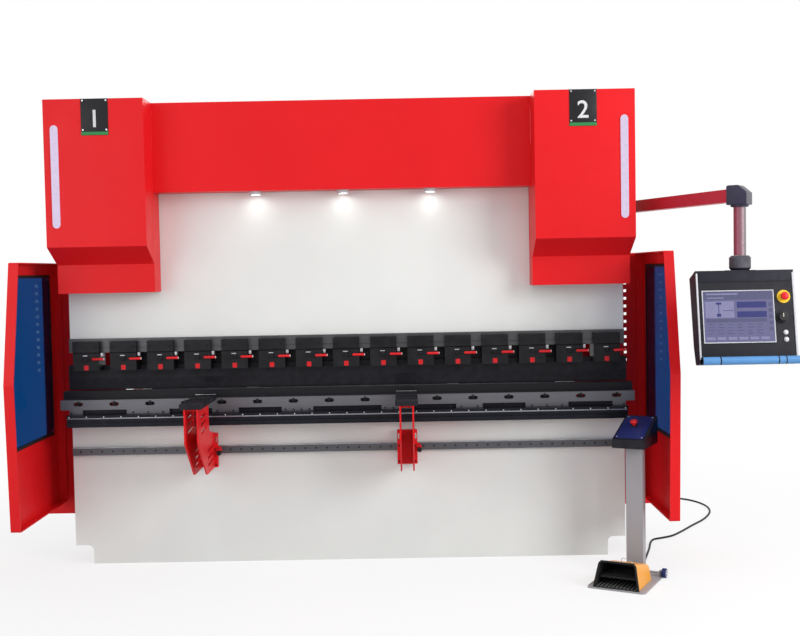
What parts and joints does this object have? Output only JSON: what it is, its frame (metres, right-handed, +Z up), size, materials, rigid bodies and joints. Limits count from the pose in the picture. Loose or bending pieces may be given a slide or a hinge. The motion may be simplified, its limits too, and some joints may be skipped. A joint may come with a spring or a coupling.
{
  "type": "hydraulic press brake",
  "caption": "Hydraulic sheet bending press with sliding ram, clamped punch, die table, front supports, side guards, swinging control pendant and foot switch stand.",
  "frame": {"origin": "on the floor under the middle of the bed plate, in the plane of the bending line", "axes": "+X along the bending line to the operator's right, +Y to the back of the machine, +Z up"},
  "size_m": [4.1325, 2.4292, 2.555],
  "materials": {
    "off_white_paint": "semi-gloss powder coat",
    "red_paint": "semi-gloss powder coat",
    "black_steel": "blackened steel",
    "brushed_steel": "milled and brushed",
    "bright_steel": "ground and chromed",
    "grey_paint": "satin paint",
    "dark_plastic": "fine texture",
    "blue_plastic": "smooth",
    "blue_glass": "tinted sheet",
    "yellow_paint": "gloss paint",
    "lamp_diffuser": "frosted",
    "rubber": "moulded"
  },
  "bodies": {
    "machine": {"bed_plate": "off_white_paint", "left_side_frame": "off_white_paint", "right_side_frame": "off_white_paint", "die_table": "brushed_steel", "wedge_bar": "black_steel", "lower_die": "black_steel", "front_rail": "black_steel", "guide_rail": "brushed_steel", "left_cylinder": "grey_paint", "right_cylinder": "grey_paint", "left_cylinder_cover": "red_paint", "right_cylinder_cover": "red_paint", "centre_cover": "red_paint", "left_led_strip": "lamp_diffuser", "right_led_strip": "lamp_diffuser", "left_back_panel": "red_paint", "right_back_panel": "red_paint", "oil_tank": "off_white_paint", "pump_motor": "grey_paint", "rear_tie_beam": "off_white_paint", "back_gauge": "grey_paint", "electrical_cabinet": "off_white_paint", "pedestal_base": "grey_paint", "pedestal_console": "black_steel", "foot_switch_hood": "yellow_paint", "foot_switch_cable": "rubber"},
    "ram": {"ram_plate": "off_white_paint", "clamp_bar": "brushed_steel", "punch": "black_steel", "left_piston_rod": "bright_steel", "right_piston_rod": "bright_steel"},
    "left_guard": {"left_guard": "red_paint", "left_guard_window": "blue_glass"},
    "right_guard": {"right_guard": "red_paint", "right_guard_window": "blue_glass"},
    "left_support": {"left_support_arm": "red_paint", "left_support_rest": "black_steel"},
    "right_support": {"right_support_arm": "red_paint", "right_support_rest": "black_steel"},
    "pendant_arm": {"pendant_arm": "grey_paint", "pendant_elbow": "dark_plastic"},
    "pendant_head": {"pendant_housing": "dark_plastic", "pendant_handle": "blue_plastic"},
    "foot_pedal": {"foot_pedal": "rubber"},
    "pedestal_wheels": {"pedestal_wheels": "rubber"},
    "clamp_lever_01": {"clamp_lever_01": "red_paint"},
    "clamp_lever_02": {"clamp_lever_02": "red_paint"},
    "clamp_lever_03": {"clamp_lever_03": "red_paint"},
    "clamp_lever_04": {"clamp_lever_04": "red_paint"},
    "clamp_lever_05": {"clamp_lever_05": "red_paint"},
    "clamp_lever_06": {"clamp_lever_06": "red_paint"},
    "clamp_lever_07": {"clamp_lever_07": "red_paint"},
    "clamp_lever_08": {"clamp_lever_08": "red_paint"},
    "clamp_lever_09": {"clamp_lever_09": "red_paint"},
    "clamp_lever_10": {"clamp_lever_10": "red_paint"},
    "clamp_lever_11": {"clamp_lever_11": "red_paint"},
    "clamp_lever_12": {"clamp_lever_12": "red_paint"},
    "clamp_lever_13": {"clamp_lever_13": "red_paint"},
    "clamp_lever_14": {"clamp_lever_14": "red_paint"},
    "clamp_lever_15": {"clamp_lever_15": "red_paint"}
  },
  "joints": [
    {"name": "ram_slide", "type": "slide", "parent": "machine", "child": "ram", "axis": [0, 0, 1], "range_m": [0, 0.17]},
    {"name": "clamp_lever_01_turn", "type": "hinge", "parent": "ram", "child": "clamp_lever_01", "pos_m": [-1.4448, -0.0993, 1.162], "axis": [0, 1, 0], "range_deg": [0, 75]},
    {"name": "clamp_lever_02_turn", "type": "hinge", "parent": "ram", "child": "clamp_lever_02", "pos_m": [-1.2384, -0.0993, 1.162], "axis": [0, 1, 0], "range_deg": [0, 75]},
    {"name": "clamp_lever_03_turn", "type": "hinge", "parent": "ram", "child": "clamp_lever_03", "pos_m": [-1.032, -0.0993, 1.162], "axis": [0, 1, 0], "range_deg": [0, 75]},
    {"name": "clamp_lever_04_turn", "type": "hinge", "parent": "ram", "child": "clamp_lever_04", "pos_m": [-0.8256, -0.0993, 1.162], "axis": [0, 1, 0], "range_deg": [0, 75]},
    {"name": "clamp_lever_05_turn", "type": "hinge", "parent": "ram", "child": "clamp_lever_05", "pos_m": [-0.6192, -0.0993, 1.162], "axis": [0, 1, 0], "range_deg": [0, 75]},
    {"name": "clamp_lever_06_turn", "type": "hinge", "parent": "ram", "child": "clamp_lever_06", "pos_m": [-0.4128, -0.0993, 1.162], "axis": [0, 1, 0], "range_deg": [0, 75]},
    {"name": "clamp_lever_07_turn", "type": "hinge", "parent": "ram", "child": "clamp_lever_07", "pos_m": [-0.2064, -0.0993, 1.162], "axis": [0, 1, 0], "range_deg": [0, 75]},
    {"name": "clamp_lever_08_turn", "type": "hinge", "parent": "ram", "child": "clamp_lever_08", "pos_m": [0, -0.0993, 1.162], "axis": [0, 1, 0], "range_deg": [0, 75]},
    {"name": "clamp_lever_09_turn", "type": "hinge", "parent": "ram", "child": "clamp_lever_09", "pos_m": [0.2064, -0.0993, 1.162], "axis": [0, 1, 0], "range_deg": [0, 75]},
    {"name": "clamp_lever_10_turn", "type": "hinge", "parent": "ram", "child": "clamp_lever_10", "pos_m": [0.4128, -0.0993, 1.162], "axis": [0, 1, 0], "range_deg": [0, 75]},
    {"name": "clamp_lever_11_turn", "type": "hinge", "parent": "ram", "child": "clamp_lever_11", "pos_m": [0.6192, -0.0993, 1.162], "axis": [0, 1, 0], "range_deg": [0, 75]},
    {"name": "clamp_lever_12_turn", "type": "hinge", "parent": "ram", "child": "clamp_lever_12", "pos_m": [0.8256, -0.0993, 1.162], "axis": [0, 1, 0], "range_deg": [0, 75]},
    {"name": "clamp_lever_13_turn", "type": "hinge", "parent": "ram", "child": "clamp_lever_13", "pos_m": [1.032, -0.0993, 1.162], "axis": [0, 1, 0], "range_deg": [0, 75]},
    {"name": "clamp_lever_14_turn", "type": "hinge", "parent": "ram", "child": "clamp_lever_14", "pos_m": [1.2384, -0.0993, 1.162], "axis": [0, 1, 0], "range_deg": [0, 75]},
    {"name": "clamp_lever_15_turn", "type": "hinge", "parent": "ram", "child": "clamp_lever_15", "pos_m": [1.4448, -0.0993, 1.162], "axis": [0, 1, 0], "range_deg": [0, 75]},
    {"name": "left_guard_hinge", "type": "hinge", "parent": "machine", "child": "left_guard", "pos_m": [-1.7415, 0.256, 1], "axis": [0, 0, -1], "range_deg": [0, 95]},
    {"name": "right_guard_hinge", "type": "hinge", "parent": "machine", "child": "right_guard", "pos_m": [1.7415, 0.256, 1], "axis": [0, 0, 1], "range_deg": [0, 95]},
    {"name": "left_support_slide", "type": "slide", "parent": "machine", "child": "left_support", "axis": [1, 0, 0], "range_m": [-0.6, 0.45]},
    {"name": "right_support_slide", "type": "slide", "parent": "machine", "child": "right_support", "axis": [1, 0, 0], "range_m": [-0.4, 0.9]},
    {"name": "pendant_arm_swing", "type": "hinge", "parent": "machine", "child": "pendant_arm", "pos_m": [1.54, 0.42, 1.96], "axis": [0, 0, 1], "range_deg": [-5, 60]},
    {"name": "pendant_head_swivel", "type": "hinge", "parent": "pendant_arm", "child": "pendant_head", "pos_m": [1.975, -0.785, 1.6], "axis": [0, 0, 1], "range_deg": [-40, 40]},
    {"name": "foot_pedal_press", "type": "hinge", "parent": "machine", "child": "foot_pedal", "pos_m": [1.4624, -0.5471, 0.058], "axis": [0.8829, -0.4695, 0], "range_deg": [0, 7], "stiffness_Nm_per_rad": 8, "springref_deg": -11.46},
    {"name": "pedestal_wheels_roll", "type": "hinge", "parent": "machine", "child": "pedestal_wheels", "pos_m": [1.5117, -0.4544, 0.027], "axis": [0.8829, -0.4695, 0], "continuous": true}
  ]
}
